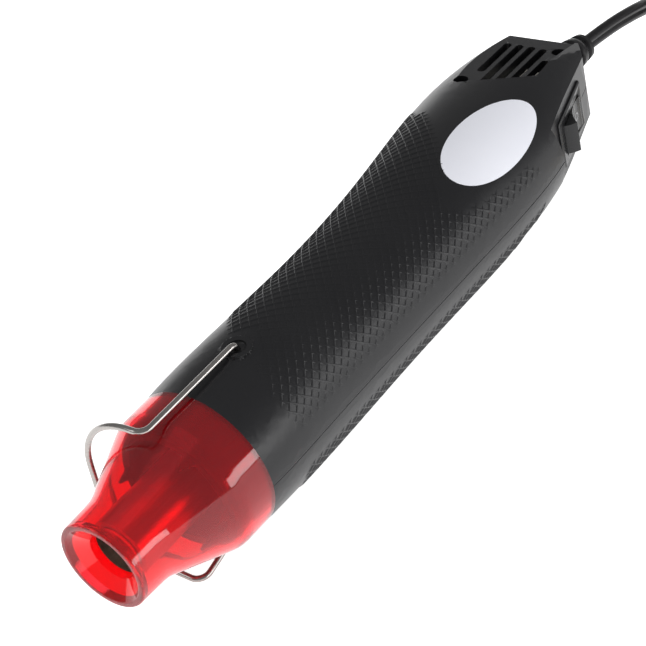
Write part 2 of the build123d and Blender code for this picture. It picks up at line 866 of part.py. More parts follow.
# Bail
def bail_stand():
    """The bent wire bail: two legs, a round loop under the nozzle, and ends hooked into the bosses."""
    front_x = pivot_x - bail_reach
    end_y = pivot_side - shell_wall
    right_y = -leg_y - right_leg_spread
    loop_radius = bail_drop - front_bend_radius - pin_gap
    points = (
        (pivot_x, end_y, 0), (pivot_x, leg_y, 0), (front_x, leg_y, 0), (front_x, leg_y, -bail_drop),
        (front_x, right_y, -bail_drop), (front_x, right_y, right_leg_rise), (pivot_x, -leg_y, 0),
        (pivot_x, -end_y, 0),
    )
    radii = (hook_radius, front_bend_radius, loop_radius, loop_radius, front_bend_radius, hook_radius)
    return round_tube(FilletPolyline(*points, radius=radii), wire_radius)


# Cord exit
def relief_flange_x():
    """Front face of the strain relief's inner flange."""
    lean = (relief_flange_height / 2) * tan(radians(rear_lean))
    return rear_x - shell_wall / cos(radians(rear_lean)) - lean - relief_flange_thickness - pin_gap


def relief_frame():
    """Frame of the drooping sleeve: x out of the rear face."""
    return Pos(rear_x, 0, cord_z) * Rot(0, 0, -relief_droop)


def cord_core():
    """The cord from the clamp to the end of the strain relief."""
    mouth = relief_mouth()
    points = ((clamp_x - cord_stub, 0, cord_z), (rear_x, 0, cord_z), (mouth[0], mouth[1], cord_z))
    return round_tube(FilletPolyline(*points, radius=bend_radii(points)), cord_radius)


def relief_mouth():
    """The end of the strain relief in tool axes, as x and y."""
    droop = radians(relief_droop)
    return (rear_x + relief_length * cos(droop), -relief_length * sin(droop))


def strain_relief():
    """The moulded sleeve: inner collar and flange, neck in the wall, tapered end with ring grooves."""
    flange_x = relief_flange_x()
    half_wide = relief_flange_width / 2
    half_high = relief_flange_height / 2
    flange = block(flange_x, flange_x + relief_flange_thickness, -half_wide, half_wide,
                   cord_z - half_high, cord_z + half_high)
    neck_x = flange_x + relief_flange_thickness
    neck = along_x(relief_neck_radius, neck_x, rear_x + relief_neck_radius / 2, 0, cord_z)
    inner = along_x(relief_inner_radius, flange_x - relief_inner_length, neck_x, 0, cord_z)
    sunk = -relief_base_radius / 2
    slope = (relief_end_radius - relief_base_radius) / relief_length
    outline = [(sunk, 0), (sunk, relief_base_radius), (0, relief_base_radius)]
    for share in relief_groove_shares:
        x0 = share * relief_length
        x1 = x0 + relief_groove_width
        deep = relief_base_radius + slope * x0 - relief_groove_depth
        outline += [(x0, deep + relief_groove_depth), (x0, deep), (x1, deep)]
        outline += [(x1, relief_base_radius + slope * x1)]
    outline += [(relief_length, relief_end_radius), (relief_length, 0)]
    sleeve = relief_frame() * turned(outline) & behind_rear(0)
    return sleeve + neck + flange + inner - cord_core()


def cord_saddle():
    """The block on the right shell that the cord lies in, with blind holes for the clamp's screws."""
    x0 = clamp_x
    x1 = clamp_x + clamp_length
    half = clamp_width / 2
    groove = cord_radius + pin_gap
    saddle = block(x0, x1, -half_width, clamp_plate_y - pin_gap, cord_z - half, cord_z + half)
    saddle -= along_x(groove, x0 - overrun, x1 + overrun, 0, cord_z)
    saddle -= block(x0 - overrun, x1 + overrun, 0, half_width, cord_z - groove, cord_z + groove)
    for z in clamp_screw_heights():
        saddle -= along_y(clamp_screw_radius + pin_gap, -clamp_screw_length, half_width, (x0 + x1) / 2, z)
    return saddle


def clamp_screw_heights():
    """Heights of the clamp's two screws."""
    return (cord_z - clamp_screw_spread, cord_z + clamp_screw_spread)


def cord_clamp():
    """The plate that presses the cord into its saddle."""
    x0 = clamp_x
    x1 = clamp_x + clamp_length
    half = clamp_width / 2
    plate = block(x0, x1, clamp_plate_y, clamp_plate_y + clamp_thickness, cord_z - half, cord_z + half)
    plate -= along_x(cord_radius + pin_gap, x0 - overrun, x1 + overrun, 0, cord_z)
    for z in clamp_screw_heights():
        plate -= along_y(clamp_screw_radius + pin_gap, 0, half_width, (x0 + x1) / 2, z)
    return plate


def clamp_screws():
    """The two screws of the cord clamp."""
    x = clamp_x + clamp_length / 2
    head_y = clamp_plate_y + clamp_thickness
    screws = []
    for z in clamp_screw_heights():
        shank = along_y(clamp_screw_radius, overrun - clamp_screw_length, head_y, x, z)
        screws.append(shank + along_y(clamp_head_radius, head_y, head_y + clamp_head_height, x, z))
    return screws


# Cord on the table, in resting axes: x to the right, y across the table, z up
cord_steps = ((13.2, 0.2, -3.4), (9.1, 1.6, -4.1), (8.8, 3.3, -5.0), (8.8, 3.3, -4.6))
cord_first_run = 13.0
cord_last_run = 9.3
lead_steps = ((-8.5, 0.0, -0.3), (-8.5, 1.4, -1.0), (-8.5, 3.0, -0.5), (-8.0, 2.9, 0.0), (-8.0, 1.2, 0.0))


def coil_place(turn):
    """Where the cord is after a number of turns: inwards on the table, a climb, and outwards."""
    radius = coil_inner_radius + coil_pitch * abs(turn - coil_turns_in)
    part = (turn - coil_turns_in) / coil_climb + 0.5
    part = min(1, max(0, part))
    height = table_z + coil_pitch * (1 - cos(pi * part)) / 2
    angle = pi / 2 + radians(coil_heading) - 2 * pi * turn
    return (coil_centre[0] + radius * cos(angle), coil_centre[1] + radius * sin(angle), height)


def coil_ways():
    """The directions of the cord where it enters and leaves the coil."""
    return Vector(cos(radians(coil_heading)), sin(radians(coil_heading)), 0), Vector(-1, 0, 0)


def least_coil_gap():
    """The least gap between the coil's turns, measured on points."""
    steps = 12 * coil_steps_per_turn
    points = [Vector(*coil_place(step / steps)) for step in range(int(coil_turns * steps) + 1)]
    least = far
    for index, point in enumerate(points):
        for other in points[index + steps // 2:]:
            least = min(least, (point - other).length)
    return least - cord_diameter


def cord_coil():
    """The wound length of the cord, with a straight end of one diameter at each side."""
    edges = wound_edges(coil_place, coil_turns, int(coil_turns * coil_steps_per_turn), coil_ways())
    first_point = edges[0] @ 0
    last_point = edges[-1] @ 1
    lead_in = Line(first_point - (edges[0] % 0) * cord_diameter, first_point)
    lead_out = Line(last_point, last_point + (edges[-1] % 1) * cord_diameter)
    path = Wire([lead_in, *edges, lead_out])
    print("cord_coil length", round(path.length, 1), "least gap between turns", round(least_coil_gap(), 2))
    return round_tube(path, cord_radius)


def cord_points():
    """The route of the cord from the strain relief to the coil."""
    mouth = relief_mouth()
    droop = radians(relief_droop)
    point = (mouth[0] + cord_first_run * cos(droop), -cord_z, mouth[1] - cord_first_run * sin(droop))
    points = [(mouth[0], -cord_z, mouth[1]), point]
    for step in cord_steps:
        point = tuple(a + b for a, b in zip(point, step))
        points.append(point)
    start = Vector(*coil_place(0))
    way = coil_ways()[0]
    points.append(tuple(start - way * (cord_diameter + cord_last_run)))
    points.append(tuple(start - way * cord_diameter))
    return points


def lead_points():
    """The route of the cord from the coil to the plug, which lies flat."""
    point = tuple(Vector(*coil_place(coil_turns)) + coil_ways()[1] * cord_diameter)
    points = [point]
    for step in lead_steps:
        point = tuple(a + b for a, b in zip(point, step))
        points.append(point)
    plug_z = floor_y + plug_height / 2
    return points[:-2] + [(x, y, plug_z) for x, y, _ in points[-2:]]


def plug_frame():
    """Frame at the cord's end: x along the plug."""
    points = lead_points()
    end = Vector(*points[-1])
    return Location(Plane(origin=end, x_dir=end - Vector(*points[-2]), z_dir=(0, 0, 1)))


def plug_body():
    """The moulded two-pin plug with its boot."""
    body = Pos(boot_length + plug_length / 2, 0, 0) * Box(plug_length, plug_width, plug_height)
    body = fillet(body.edges().filter_by(Axis.X) + body.edges().group_by(Axis.X)[0], plug_round)
    boot = turned(((0, 0), (0, boot_tip_radius), (boot_length + plug_round, boot_radius), (boot_length + plug_round, 0)))
    body += boot
    for y in (-blade_spread / 2, blade_spread / 2):
        body -= blade_blank(y, pin_gap)
    return plug_frame() * body


def blade_blank(y, gap):
    """One flat blade, from its root in the plug to its tip, larger by a gap."""
    x1 = boot_length + plug_length
    thick = blade_gauge / 2 + gap
    wide = blade_width / 2 + gap
    return block(x1 - blade_root, x1 + blade_length, y - thick, y + thick, -wide, wide)


def plug_blades():
    """The plug's two blades with their holes."""
    tip = boot_length + plug_length + blade_length
    blades = []
    for y in (-blade_spread / 2, blade_spread / 2):
        hole = along_y(blade_hole_radius, y - blade_gauge, y + blade_gauge, tip - blade_hole_back)
        blades.append(plug_frame() * (blade_blank(y, 0) - hole))
    return blades


# Output
def write(name, piece, turn=Rot(0, 0, 0)):
    """Write one node, whether it is one solid or several."""
    pieces = piece if isinstance(piece, list) else [piece]
    solids = [turn * solid for item in pieces for solid in item.solids()]
    shape = solids[0] if len(solids) == 1 else Compound(children=solids)
    export_step(shape, f"parts/{name}.step")
    print(name, len(solids), "solids", round(sum(solid.volume for solid in solids)))


def main():
    """Build every piece and write it in resting axes."""
    outer = body_half(0)
    blank = shell_blank(outer, body_half(shell_wall))
    tool_pieces = {
        "left_shell": left_shell(blank, outer),
        "right_shell": right_shell(blank, outer),
        "case_screws": case_screws(),
        "nozzle_guard": nozzle_guard(),
        "tab_ring": tab_ring(),
        "heater_tube": heater_tube(),
        "heater_plate": heater_plate(),
        "mica_sleeve": mica_sleeve(),
        "mica_cross": mica_cross(),
        "heating_element": heating_element(),
        "thermal_fuse": thermal_fuse(),
        "fan_duct": fan_duct(),
        "fan": fan(),
        "motor_shaft": motor_shaft(),
        "motor_can": motor_can(),
        "armature": armature(),
        "motor_magnets": motor_magnets(),
        "motor_end_cap": motor_end_cap(),
        "motor_tags": motor_tags(),
        "rectifier_board": rectifier_board(),
        "diodes": diodes(),
        "switch_body": switch_body(),
        "rocker": rocker(),
        "switch_tags": switch_tags(),
        "bail_stand": bail_stand(),
        "strain_relief": strain_relief(),
        "cord_core": cord_core(),
        "cord_clamp": cord_clamp(),
        "clamp_screws": clamp_screws(),
    }
    for name, piece in tool_pieces.items():
        write(name, piece, Rot(90, 0, 0))
    write("cord", routed_tube(cord_points(), cord_radius, "cord"))
    write("cord_coil", cord_coil())
    write("cord_lead", routed_tube(lead_points(), cord_radius, "cord_lead"))
    write("plug_body", plug_body())
    write("plug_blades", plug_blades())


main()
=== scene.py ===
import json
from math import asin, copysign, cos, pi, radians, sin, tan

import bmesh
import bpy
from mathutils import Matrix, Vector
from mathutils.bvhtree import BVHTree


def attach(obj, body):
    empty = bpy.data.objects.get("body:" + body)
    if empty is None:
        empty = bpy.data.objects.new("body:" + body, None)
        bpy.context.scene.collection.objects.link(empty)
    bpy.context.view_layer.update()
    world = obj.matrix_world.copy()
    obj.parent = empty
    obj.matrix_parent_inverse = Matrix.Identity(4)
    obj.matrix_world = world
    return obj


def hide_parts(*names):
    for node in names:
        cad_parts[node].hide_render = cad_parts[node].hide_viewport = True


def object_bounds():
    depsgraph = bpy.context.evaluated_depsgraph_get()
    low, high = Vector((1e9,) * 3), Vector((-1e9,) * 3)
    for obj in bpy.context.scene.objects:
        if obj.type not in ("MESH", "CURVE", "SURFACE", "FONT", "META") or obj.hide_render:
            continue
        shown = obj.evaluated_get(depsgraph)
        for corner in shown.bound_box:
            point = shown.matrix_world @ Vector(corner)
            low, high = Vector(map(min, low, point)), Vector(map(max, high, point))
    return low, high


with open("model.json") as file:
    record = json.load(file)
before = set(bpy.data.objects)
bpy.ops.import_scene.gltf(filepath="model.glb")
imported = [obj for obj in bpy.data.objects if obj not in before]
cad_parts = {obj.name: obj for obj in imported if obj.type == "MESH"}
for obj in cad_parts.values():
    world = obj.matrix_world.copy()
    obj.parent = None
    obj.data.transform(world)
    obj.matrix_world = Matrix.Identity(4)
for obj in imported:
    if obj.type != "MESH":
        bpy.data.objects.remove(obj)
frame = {"nodes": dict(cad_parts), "record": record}
cad_low, cad_high = [list(corner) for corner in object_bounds()]

# The tool rests on its right shell. X runs from the nozzle's mouth to the tail, -Y is the side of
# the switch and +Z the left shell. Lengths are in metres.
mm = 0.001
floor_z = cad_low[2]
floor_size = 6.0
floor_gap = 0.1 * mm
merge_gap = 0.002 * mm
ray_reach = 60.0 * mm

# Camera, fitted to the photograph's outlines
camera_place = Vector((-0.30258, -0.40106, 0.46852))
camera_right = Vector((0.5900, -0.7876, -0.1779)).normalized()
camera_ahead = Vector((0.5424, 0.5498, -0.6352)).normalized()
camera_lens = 156.04
sensor_width = 36.0

# Lights: place, size, power in watts, and whether glossy pieces mirror it
world_strength = 0.3
light_target = (0.1, 0.0, 0.0)
area_lights = {
    "overhead light": ((0.1, 0.1, 1.0), (0.8, 0.8), 3.8, False),
    "left light": ((-0.6, 0.5, 0.6), (0.35, 0.5), 0.9, True),
    "right light": ((0.35, -1.0, 0.14), (0.9, 0.24), 4.0, True),
}

# Sizes that the solids have too
nozzle_end = 42.0 * mm
collar_radius = 21.5 * mm
guard_wall = 1.8 * mm
outlet_radius = 6.9 * mm
rim_radius = 13.1 * mm
lip_radius = 11.5 * mm
rim_round = 0.7 * mm
dish_depth = 4.0 * mm
dish_shift = 2.385 * mm
barrel_end = 11.508 * mm
barrel_radius = 13.45 * mm
shoulder_x = 32.0 * mm
flare_bend = 16.0 * mm
shoulder_bend = 10.0 * mm
pivot_x = 61.5 * mm
bail_leg_z = 23.6 * mm
bail_end_z = 19.8 * mm
bail_front_x = 24.4 * mm
bail_drop = 23.3 * mm
bail_right_z = -25.4 * mm
bail_right_rise = 6.0 * mm
bail_bends = [radius * mm for radius in (2.0, 3.2, 20.05, 20.05, 3.2, 2.0)]
wire_radius = 0.9 * mm
switch_middle = Vector((196.788, -8.974, 0.0)) * mm
switch_slope = 18.0
brow_x = 207.0 * mm
brow_height = 14.0 * mm
brow_fall = 0.36

# Cord: the route of the solids
cord_width = 5.0 * mm
cord_thickness = 2.9 * mm
table_z = floor_z + cord_width / 2
coil_centre = (321.0 * mm, -11.7 * mm)
coil_inner_radius = 19.5 * mm
coil_pitch = 5.3 * mm
coil_turns_in = 4.0
coil_turns = 7.5567
coil_heading = 20.4
coil_climb = 0.5
coil_points_per_turn = 12
cord_route = (
    (232.06, 9.61, -1.95), (244.93, 9.61, -3.76), (258.13, 9.81, -7.16), (267.23, 11.41, -11.26),
    (276.03, 14.71, -16.26), (284.83, 18.01, -20.86), (293.41, 21.46, -23.8), (302.13, 24.7, -23.8),
)
lead_route = (
    (316.0, -50.05, -18.5), (307.5, -50.05, -18.8), (299.0, -48.65, -19.8), (290.5, -45.65, -20.3),
    (282.5, -42.75, -20.3), (274.5, -41.55, -20.3),
)

# Grip: diamonds in millimetres along the tool and degrees round it from the left line
grip_radius = 21.0
knurl_pitch = 2.3
knurl_rib = 0.45
knurl_height = 0.3
knurl_root = 0.06
knurl_cells = 58
knurl_middle_x = 113.5
knurl_seam_angle = 77.5
knurl_least_face = 0.8
boss_clear = 5.6
knurl_front = ((-90, 86), (-45, 74), (-17, 65.1), (7, 59.1), (36, 54.3), (62, 53.6), (90, 56.5))
knurl_rear = ((-90, 176), (-45, 168), (-11, 156.7), (11, 148.3), (32, 138), (40, 137), (47, 141),
              (52, 150), (55, 160), (58, 168), (60, 171), (90, 171))
knurl_rear_plain = ((-90, 176), (-45, 168), (-11, 156.7), (11, 150), (40, 150), (55, 160),
                    (60, 171), (90, 171))

# Sticker: middle and half axes in millimetres along the tool and round it
label_x = 163.3
label_round = 8.7
label_long = 19.7
label_wide = 10.2
label_rings = 12
label_lift = 0.03 * mm
label_sheet = 0.12 * mm

# Marks on the rocker, in millimetres along it and across it
mark_bar = (1.3, 0.22)
mark_bar_place = -3.4
mark_ring_radius = 1.25
mark_ring_share = 0.68
mark_ring_place = 3.6
mark_start = 20.0 * mm
mark_lift = 0.03 * mm
mark_ink = 0.05 * mm

# Fine groove of the parting line
seam_half_width = 0.28 * mm
seam_bump = 0.09 * mm


# Camera and light
def add_camera():
    """The camera at the photograph's place, with its long lens."""
    up = camera_right.cross(camera_ahead).normalized()
    data = bpy.data.cameras.new("camera")
    data.sensor_width = sensor_width
    data.lens = camera_lens
    data.clip_start = 0.01
    data.clip_end = 20.0
    camera = bpy.data.objects.new("camera", data)
    bpy.context.scene.collection.objects.link(camera)
    turn = Matrix((camera_right, up, -camera_ahead)).transposed().to_4x4()
    camera.matrix_world = Matrix.Translation(camera_place) @ turn
    bpy.context.scene.camera = camera


def add_light(name, place, size, power, glossy):
    """A rectangular soft light aimed at the tool, with or without its mirror image on glossy pieces."""
    data = bpy.data.lights.new(name, "AREA")
    data.shape = "RECTANGLE"
    data.size, data.size_y = size
    data.energy = power
    light = bpy.data.objects.new(name, data)
    bpy.context.scene.collection.objects.link(light)
    light.visible_glossy = glossy
    direction = Vector(light_target) - Vector(place)
    turn = direction.to_track_quat("-Z", "Y").to_matrix().to_4x4()
    light.matrix_world = Matrix.Translation(place) @ turn


def add_surroundings():
    """Even white surroundings, soft lights and the plain view transform."""
    bpy.context.scene.view_settings.view_transform = "Standard"
    world = bpy.data.worlds.new("surroundings")
    bpy.context.scene.world = world
    world.use_nodes = True
    background = world.node_tree.nodes["Background"]
    background.inputs["Color"].default_value = (1, 1, 1, 1)
    background.inputs["Strength"].default_value = world_strength
    for name, values in area_lights.items():
        add_light(name, *values)


# Mesh helpers
def make_active(piece):
    """Select one object alone, in object mode."""
    if bpy.context.object and bpy.context.object.mode != "OBJECT":
        bpy.ops.object.mode_set(mode="OBJECT")
    bpy.ops.object.select_all(action="DESELECT")
    if piece:
        piece.select_set(True)
        bpy.context.view_layer.objects.active = piece


def new_primitive(adder, name, **sizes):
    """Add a primitive under a name, with its place put into its mesh."""
    make_active(None)
    adder(**sizes)
    piece = bpy.context.object
    piece.name = name
    piece.data.name = name
    bpy.ops.object.transform_apply(location=True, rotation=True, scale=True)
    return piece


def edit(piece):
    """Go into edit mode on one piece with its whole mesh selected."""
    make_active(piece)
    bpy.ops.object.mode_set(mode="EDIT")
    bpy.ops.mesh.select_all(action="SELECT")


def leave_edit():
    """Go back to object mode."""
    bpy.ops.object.mode_set(mode="OBJECT")


def clean(piece):
    """Merge doubles and point every face outwards."""
    edit(piece)
    bpy.ops.mesh.remove_doubles(threshold=merge_gap)
    bpy.ops.mesh.select_all(action="SELECT")
    bpy.ops.mesh.normals_make_consistent(inside=False)
    leave_edit()


def shade(piece, angle=32):
    """Smooth shading that keeps the edges that are sharper than an angle."""
    make_active(piece)
    bpy.ops.object.shade_smooth_by_angle(angle=radians(angle))


def apply_modifiers(piece):
    """Apply every modifier of a piece in order."""
    make_active(piece)
    for modifier in list(piece.modifiers):
        bpy.ops.object.modifier_apply(modifier=modifier.name)


def body_of(node):
    """The body that a CAD node rides on."""
    bodies = frame["record"]["behaviour"]["bodies"]
    return next(body for body, nodes in bodies.items() if node in nodes)


def dress(piece, material, body, nodes=()):
    """Give a new piece its material and body, and hide the nodes that it stands for."""
    piece.data.materials.clear()
    piece.data.materials.append(material)
    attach(piece, body)
    if nodes:
        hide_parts(*nodes)
    return piece


def lower_brow(piece):
    """Let the housing's corner above the strain relief fall towards the tail."""
    for vertex in piece.data.vertices:
        x, _, z = vertex.co
        limit = brow_height - brow_fall * (x - brow_x)
        if x > brow_x and abs(z) > limit:
            vertex.co.z = copysign(limit, z)


def skin(node, material, angle=32, reshape=None):
    """A merged copy of a CAD node, smoothly shaded, that stands for it."""
    piece = bpy.data.objects.new(node + "_skin", frame["nodes"][node].data.copy())
    bpy.context.scene.collection.objects.link(piece)
    edit(piece)
    bpy.ops.mesh.remove_doubles(threshold=merge_gap)
    leave_edit()
    if reshape:
        reshape(piece)
    shade(piece, angle)
    piece.modifiers.new("flat faces", "WEIGHTED_NORMAL").keep_sharp = True
    apply_modifiers(piece)
    return dress(piece, material, body_of(node), (node,))


def rounded_line(points, radii, steps=10):
    """A line with its inner corners rounded, as points."""
    line = [Vector(points[0])]
    for before, here, after, radius in zip(points, points[1:], points[2:], radii):
        corner = Vector(here)
        back = (Vector(before) - corner).normalized()
        ahead = (Vector(after) - corner).normalized()
        half = back.angle(ahead) / 2
        reach = radius / tan(half)
        centre = corner + (back + ahead).normalized() * (radius / sin(half))
        start = corner + back * reach - centre
        end = corner + ahead * reach - centre
        line += [centre + start.slerp(end, step / steps) * radius for step in range(steps + 1)]
    line.append(Vector(points[-1]))
    return line


def turned(name, line, steps=144):
    """A closed body of revolution about the tool's axis: a circle drawn out ring by ring."""
    first_x, first_radius = line[0]
    piece = new_primitive(
        bpy.ops.mesh.primitive_circle_add, name, vertices=steps, radius=first_radius,
        location=(first_x, 0, 0), rotation=(0, pi / 2, 0),
    )
    edit(piece)
    for (x0, r0), (x1, r1) in zip(line, line[1:] + line[:1]):
        bpy.ops.mesh.extrude_region_move(TRANSFORM_OT_translate={"value": (x1 - x0, 0, 0)})
        bpy.ops.transform.resize(value=(1, r1 / r0, r1 / r0), center_override=(x1, 0, 0))
    leave_edit()
    clean(piece)
    return piece


def tube_along(name, line, section, upright=True):
    """A closed tube whose section, as (side, tall) points, follows a line. Upright keeps it from turning."""
    mesh = bmesh.new()
    rings = []
    side = Vector((0.3, 0.9, 0.1))
    for index, point in enumerate(line):
        ahead = (line[min(index + 1, len(line) - 1)] - line[max(index - 1, 0)]).normalized()
        side = ahead.cross(Vector((0, 0, 1))) if upright else side - ahead * side.dot(ahead)
        side.normalize()
        tall = side.cross(ahead)
        rings.append([mesh.verts.new(point + side * a + tall * b) for a, b in section])
    count = len(section)
    for one, two in zip(rings, rings[1:]):
        for k in range(count):
            mesh.faces.new((one[k], one[(k + 1) % count], two[(k + 1) % count], two[k]))
    mesh.faces.new(reversed(rings[0]))
    mesh.faces.new(rings[-1])
    bmesh.ops.recalc_face_normals(mesh, faces=mesh.faces)
    data = bpy.data.meshes.new(name)
    mesh.to_mesh(data)
    mesh.free()
    piece = bpy.data.objects.new(name, data)
    bpy.context.scene.collection.objects.link(piece)
    return piece


def round_section(radius, count):
    """A circle as section points."""
    return [(radius * cos(2 * pi * k / count), radius * sin(2 * pi * k / count)) for k in range(count)]


def surface_of(node):
    """A search tree over a CAD node's surface."""
    mesh = frame["nodes"][node].data
    return BVHTree.FromPolygons([v.co for v in mesh.vertices], [tuple(p.vertices) for p in mesh.polygons])


def on_shell(surface, side, x, angle, lift):
    """The point of a shell at a place along the tool and an angle round it, raised by a lift."""
    out = Vector((0, -sin(angle), side * cos(angle)))
    hit, normal, _, _ = surface.ray_cast(Vector((x, 0, 0)) + out * ray_reach, -out)
    if normal.dot(out) < 0:
        normal.negate()
    return hit + normal * lift


def at_angle(table, angle):
    """A table's value at an angle, on straight lines between its rows."""
    for (a0, v0), (a1, v1) in zip(table, table[1:]):
        if a0 <= angle <= a1:
            return v0 + (v1 - v0) * (angle - a0) / (a1 - a0)
    return table[0][1] if angle < table[0][0] else table[-1][1]


# Shader helpers
def new_material(name):
    """A node material with its Principled shader and its tree."""
    material = bpy.data.materials.new(name)
    material.use_nodes = True
    return material, material.node_tree.nodes["Principled BSDF"], material.node_tree


def add_node(tree, kind, **settings):
    """A node of a kind with its settings."""
    node = tree.nodes.new(kind)
    for key, value in settings.items():
        setattr(node, key, value)
    return node


def maths(tree, operation, *inputs):
    """The output of a math node. Inputs are sockets or numbers."""
    node = add_node(tree, "ShaderNodeMath", operation=operation)
    for socket, value in zip(node.inputs, inputs):
        if isinstance(value, (int, float)):
            socket.default_value = value
        else:
            tree.links.new(value, socket)
    return node.outputs[0]


def bump(tree, height, distance, shader):
    """Feed a height through a bump node into a shader's normal."""
    node = add_node(tree, "ShaderNodeBump")
    node.inputs["Distance"].default_value = distance
    tree.links.new(height, node.inputs["Height"])
    tree.links.new(node.outputs["Normal"], shader.inputs["Normal"])


def grain_group():
    """Fine grain as a height, and slow patches as a mask."""
    group = bpy.data.node_groups.new("fine grain", "ShaderNodeTree")
    for socket_name in ("Fine scale", "Patch scale"):
        group.interface.new_socket(socket_name, in_out="INPUT", socket_type="NodeSocketFloat")
    for socket_name in ("Height", "Patches"):
        group.interface.new_socket(socket_name, in_out="OUTPUT", socket_type="NodeSocketFloat")
    given = add_node(group, "NodeGroupInput")
    out = add_node(group, "NodeGroupOutput")
    place = add_node(group, "ShaderNodeTexCoord").outputs["Object"]
    for source, result in (("Fine scale", "Height"), ("Patch scale", "Patches")):
        noise = add_node(group, "ShaderNodeTexNoise")
        noise.inputs["Detail"].default_value = 3.0
        group.links.new(place, noise.inputs["Vector"])
        group.links.new(given.outputs[source], noise.inputs["Scale"])
        group.links.new(noise.outputs["Fac"], out.inputs[result])
    return group


GRAIN = grain_group()


def add_grain(tree, fine_scale, patch_scale):
    """The grain group in a material, with its own scales."""
    node = add_node(tree, "ShaderNodeGroup", node_tree=GRAIN)
    node.inputs["Fine scale"].default_value = fine_scale
    node.inputs["Patch scale"].default_value = patch_scale
    return node.outputs["Height"], node.outputs["Patches"]


def spread_roughness(tree, shader, mask, middle, spread):
    """Roughness that varies round a middle value with a mask."""
    level = maths(tree, "MULTIPLY_ADD", mask, spread, middle - spread / 2)
    tree.links.new(level, shader.inputs["Roughness"])


def spread_colour(tree, shader, mask, dark, light):
    """Base colour between two tones by a mask."""
    ramp = add_node(tree, "ShaderNodeValToRGB")
    ramp.color_ramp.elements[0].position = 0.3
    ramp.color_ramp.elements[1].position = 0.7
    ramp.color_ramp.elements[0].color = (*dark, 1)
    ramp.color_ramp.elements[1].color = (*light, 1)
    tree.links.new(mask, ramp.inputs["Fac"])
    tree.links.new(ramp.outputs["Color"], shader.inputs["Base Color"])


def moulded(name, dark, light, roughness, fine_scale=2500.0, depth=0.012, shine=0.5, spread=0.12):
    """A moulded or pressed material: two near tones, uneven gloss and fine grain."""
    material, shader, tree = new_material(name)
    shader.inputs["Specular IOR Level"].default_value = shine
    grain, patches = add_grain(tree, fine_scale, 60.0)
    spread_colour(tree, shader, patches, dark, light)
    spread_roughness(tree, shader, patches, roughness, spread)
    bump(tree, grain, depth * mm, shader)
    return material


def drawn_metal(name, dark, light, roughness, stretch=(0.05, 1.0, 1.0), scale=1800.0):
    """Metal with fine lines along one direction."""
    material, shader, tree = new_material(name)
    shader.inputs["Metallic"].default_value = 1.0
    mapping = add_node(tree, "ShaderNodeMapping")
    mapping.inputs["Scale"].default_value = stretch
    place = add_node(tree, "ShaderNodeTexCoord").outputs["Object"]
    tree.links.new(place, mapping.inputs["Vector"])
    noise = add_node(tree, "ShaderNodeTexNoise")
    noise.inputs["Scale"].default_value = scale
    tree.links.new(mapping.outputs["Vector"], noise.inputs["Vector"])
    spread_colour(tree, shader, noise.outputs["Fac"], dark, light)
    spread_roughness(tree, shader, noise.outputs["Fac"], roughness, 0.12)
    bump(tree, noise.outputs["Fac"], 0.01 * mm, shader)
    return material


def housing_plastic():
    """Satin black plastic of the shells, with the fine groove of the parting line."""
    material, shader, tree = new_material("housing plastic")
    grain, patches = add_grain(tree, 2600.0, 40.0)
    spread_colour(tree, shader, patches, (0.013, 0.013, 0.0145), (0.017, 0.017, 0.0185))
    spread_roughness(tree, shader, patches, 0.33, 0.08)
    split = add_node(tree, "ShaderNodeSeparateXYZ")
    tree.links.new(add_node(tree, "ShaderNodeTexCoord").outputs["Object"], split.inputs[0])
    from_seam = maths(tree, "DIVIDE", maths(tree, "ABSOLUTE", split.outputs["Z"]), seam_half_width)
    groove = maths(tree, "SUBTRACT", 1.0, maths(tree, "MINIMUM", from_seam, 1.0))
    tree.links.new(maths(tree, "MULTIPLY_ADD", groove, -0.28, 0.3), shader.inputs["Specular IOR Level"])
    height = maths(tree, "MULTIPLY_ADD", groove, -2.0, maths(tree, "MULTIPLY", grain, 0.12))
    bump(tree, height, seam_bump, shader)
    return material


def guard_plastic():
    """The see-through red of the guard."""
    material, shader, tree = new_material("guard plastic")
    shader.inputs["IOR"].default_value = 1.49
    shader.inputs["Transmission Weight"].default_value = 0.86
    patches = add_grain(tree, 900.0, 50.0)[1]
    spread_colour(tree, shader, patches, (1.0, 0.025, 0.04), (1.0, 0.035, 0.05))
    spread_roughness(tree, shader, patches, 0.05, 0.02)
    return material


def stage_white():
    """A pale floor that takes only a soft shadow."""
    material, shader, _ = new_material("stage white")
    shader.inputs["Base Color"].default_value = (0.9, 0.9, 0.9, 1)
    shader.inputs["Roughness"].default_value = 0.9
    shader.inputs["Specular IOR Level"].default_value = 0.0
    shader.inputs["Emission Color"].default_value = (1, 1, 1, 1)
    shader.inputs["Emission Strength"].default_value = 0.95
    return material


# Cord
def coil_place(turn):
    """Where the cord is after a number of turns: inwards on the table, a climb, and outwards."""
    radius = coil_inner_radius + coil_pitch * abs(turn - coil_turns_in)
    part = min(1, max(0, (turn - coil_turns_in) / coil_climb + 0.5))
    height = table_z + coil_pitch * (1 - cos(pi * part)) / 2
    angle = pi / 2 + radians(coil_heading) - 2 * pi * turn
    return Vector((coil_centre[0] + radius * cos(angle), coil_centre[1] + radius * sin(angle), height))


def smooth_line(points, steps):
    """The points of a NURBS line with these control points."""
    curve = bpy.data.curves.new("cord line", "CURVE")
    curve.dimensions = "3D"
    curve.resolution_u = steps
    spline = curve.splines.new("NURBS")
    spline.points.add(len(points) - 1)
    for target, point in zip(spline.points, points):
        target.co = (*point, 1)
    spline.order_u = 3
    spline.use_endpoint_u = True
    holder = bpy.data.objects.new("cord line", curve)
    mesh = bpy.data.meshes.new_from_object(holder)
    line = [vertex.co.copy() for vertex in mesh.vertices]
    bpy.data.objects.remove(holder)
    bpy.data.meshes.remove(mesh)
    bpy.data.curves.remove(curve)
    return line


